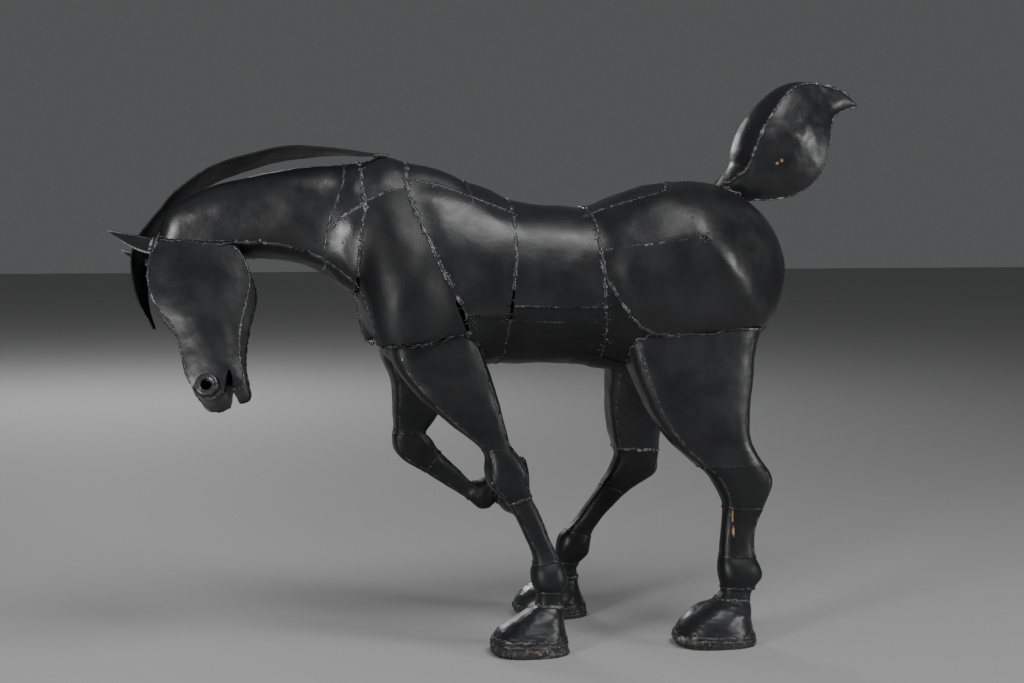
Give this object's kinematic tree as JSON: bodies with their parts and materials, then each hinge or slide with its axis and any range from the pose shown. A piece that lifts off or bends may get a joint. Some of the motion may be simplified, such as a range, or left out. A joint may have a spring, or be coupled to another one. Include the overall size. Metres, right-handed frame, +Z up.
{
  "type": "horse sculpture",
  "caption": "Horse welded from hand-cut plates of black sheet steel, head hanging, tail raised and a foreleg folded, standing on its other hooves as a figure for a room or garden.",
  "frame": {"origin": "middle of the bounding box, on the surface that the hooves stand on", "axes": "+Z up; the horse faces -X with its tail towards +X, its left side is towards -Y and its right side towards +Y"},
  "size_m": [1.3496, 0.4104, 0.994],
  "materials": {
    "black_steel": "satin black paint over hammered and welded sheet steel, a little worn on the weld beads, with specks of rust",
    "hoof_steel": "satin black paint worn to bare, dusty brown steel along the rim of the sole"
  },
  "bodies": {
    "root": {"neck_plate_left": "black_steel", "neck_plate_right": "black_steel", "neck_underside_strip": "black_steel", "neck_base_top_plate": "black_steel", "neck_base_plate_left": "black_steel", "neck_base_plate_right": "black_steel", "withers_plate": "black_steel", "shoulder_plate_left": "black_steel", "shoulder_plate_right": "black_steel", "chest_strip": "black_steel", "back_strip_front": "black_steel", "back_strip_rear": "black_steel", "rib_plate_left": "black_steel", "rib_plate_right": "black_steel", "saddle_plate": "black_steel", "belly_sheet_front": "black_steel", "belly_sheet_rear": "black_steel", "loin_strip": "black_steel", "haunch_plate_left": "black_steel", "haunch_plate_right": "black_steel", "flank_sheet_left": "black_steel", "flank_sheet_right": "black_steel", "cheek_plate_left": "black_steel", "nostril_ring_left": "black_steel", "ear_left": "black_steel", "cheek_plate_right": "black_steel", "nostril_ring_right": "black_steel", "ear_right": "black_steel", "face_strip": "black_steel", "jaw_strip": "black_steel", "mane_bar": "black_steel", "mane_strip": "black_steel", "tail_plate_left": "black_steel", "tail_plate_right": "black_steel", "tail_front_strip": "black_steel", "tail_rear_strip": "black_steel", "front_left_forearm": "black_steel", "front_left_knee": "black_steel", "front_left_cannon": "black_steel", "front_left_fetlock": "black_steel", "front_left_pastern": "black_steel", "front_left_hoof": "hoof_steel", "front_right_forearm": "black_steel", "front_right_knee": "black_steel", "front_right_cannon": "black_steel", "front_right_fetlock": "black_steel", "front_right_pastern": "black_steel", "front_right_hoof": "hoof_steel", "hind_left_thigh": "black_steel", "hind_left_hock": "black_steel", "hind_left_cannon": "black_steel", "hind_left_fetlock": "black_steel", "hind_left_pastern": "black_steel", "hind_left_hoof": "hoof_steel", "hind_right_thigh": "black_steel", "hind_right_hock": "black_steel", "hind_right_cannon": "black_steel", "hind_right_fetlock": "black_steel", "hind_right_pastern": "black_steel", "hind_right_hoof": "hoof_steel"}
  },
  "joints": []
}
